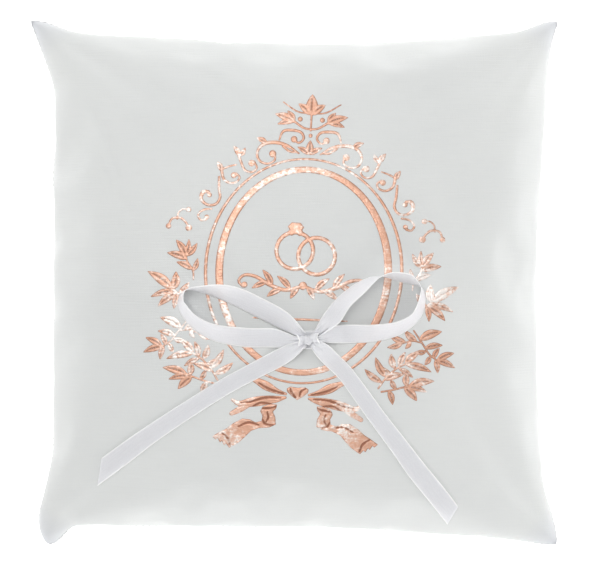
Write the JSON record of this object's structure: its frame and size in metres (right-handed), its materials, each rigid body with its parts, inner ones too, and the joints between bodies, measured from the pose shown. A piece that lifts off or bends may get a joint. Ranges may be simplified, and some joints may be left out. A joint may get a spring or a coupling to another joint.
{
  "type": "ring bearer pillow",
  "caption": "Square stuffed satin cushion with a raised foil oval and scrollwork on its front and a narrow ribbon tied in a bow to hold wedding rings.",
  "frame": {"origin": "under the middle of the cushion, on the surface its back rests on", "axes": "+Z out of the printed front, +Y towards the top of the print, +X towards its right"},
  "size_m": [0.196, 0.196, 0.0668],
  "materials": {
    "satin": "off-white satin weave with a soft sheen",
    "ribbon": "white satin ribbon with narrow woven edges",
    "thread": "white sewing thread",
    "fibre": "loose white polyester fibre",
    "rose_foil": "crinkled rose-gold heat-transfer foil"
  },
  "bodies": {
    "cushion": {"front_cover": "satin", "back_cover": "satin", "fibre_fill": "fibre", "perimeter_seam_thread": "thread", "closing_seam_thread": "thread", "ribbon_centre": "ribbon", "ribbon_tack_thread": "thread", "bow_knot": "ribbon", "foil_inner_band": "rose_foil", "foil_outer_line": "rose_foil", "foil_crest_flower": "rose_foil", "foil_crest_dot": "rose_foil", "foil_crest_lily": "rose_foil", "foil_rings_motif": "rose_foil", "foil_flourish": "rose_foil", "foil_rule": "rose_foil", "foil_bow_knot": "rose_foil", "foil_crest_bead_left": "rose_foil", "foil_crest_scroll_left": "rose_foil", "foil_tendril_left": "rose_foil", "foil_scroll_left_1": "rose_foil", "foil_scroll_left_2": "rose_foil", "foil_scroll_left_3": "rose_foil", "foil_scroll_left_4": "rose_foil", "foil_scroll_left_5": "rose_foil", "foil_spray_left_1": "rose_foil", "foil_spray_left_2": "rose_foil", "foil_spray_left_3": "rose_foil", "foil_spray_left_4": "rose_foil", "foil_spray_left_5": "rose_foil", "foil_bow_loop_left": "rose_foil", "foil_bow_tail_left": "rose_foil", "foil_crest_bead_right": "rose_foil", "foil_crest_scroll_right": "rose_foil", "foil_tendril_right": "rose_foil", "foil_scroll_right_1": "rose_foil", "foil_scroll_right_2": "rose_foil", "foil_scroll_right_3": "rose_foil", "foil_scroll_right_4": "rose_foil", "foil_scroll_right_5": "rose_foil", "foil_spray_right_1": "rose_foil", "foil_spray_right_2": "rose_foil", "foil_spray_right_3": "rose_foil", "foil_spray_right_4": "rose_foil", "foil_spray_right_5": "rose_foil", "foil_bow_loop_right": "rose_foil", "foil_bow_tail_right": "rose_foil"},
    "left_loop": {"bow_loop_left": "ribbon"},
    "right_loop": {"bow_loop_right": "ribbon"},
    "left_tail": {"ribbon_tail_left": "ribbon"},
    "right_tail": {"ribbon_tail_right": "ribbon"}
  },
  "joints": [
    {"name": "left_loop_lift", "type": "hinge", "parent": "cushion", "child": "left_loop", "pos_m": [-0.00255, -0.01796, 0.0641], "axis": [0.2924, 0.9563, 0], "range_deg": [0, 55]},
    {"name": "right_loop_lift", "type": "hinge", "parent": "cushion", "child": "right_loop", "pos_m": [0.01216, -0.01654, 0.0639], "axis": [0.4695, -0.8829, 0], "range_deg": [0, 55]},
    {"name": "left_tail_lift", "type": "hinge", "parent": "cushion", "child": "left_tail", "pos_m": [-0.00137, -0.025, 0.0605], "axis": [-0.5878, 0.809, 0], "range_deg": [0, 60]},
    {"name": "right_tail_lift", "type": "hinge", "parent": "cushion", "child": "right_tail", "pos_m": [0.01045, -0.02625, 0.0602], "axis": [-0.7431, -0.6691, 0], "range_deg": [0, 60]}
  ]
}
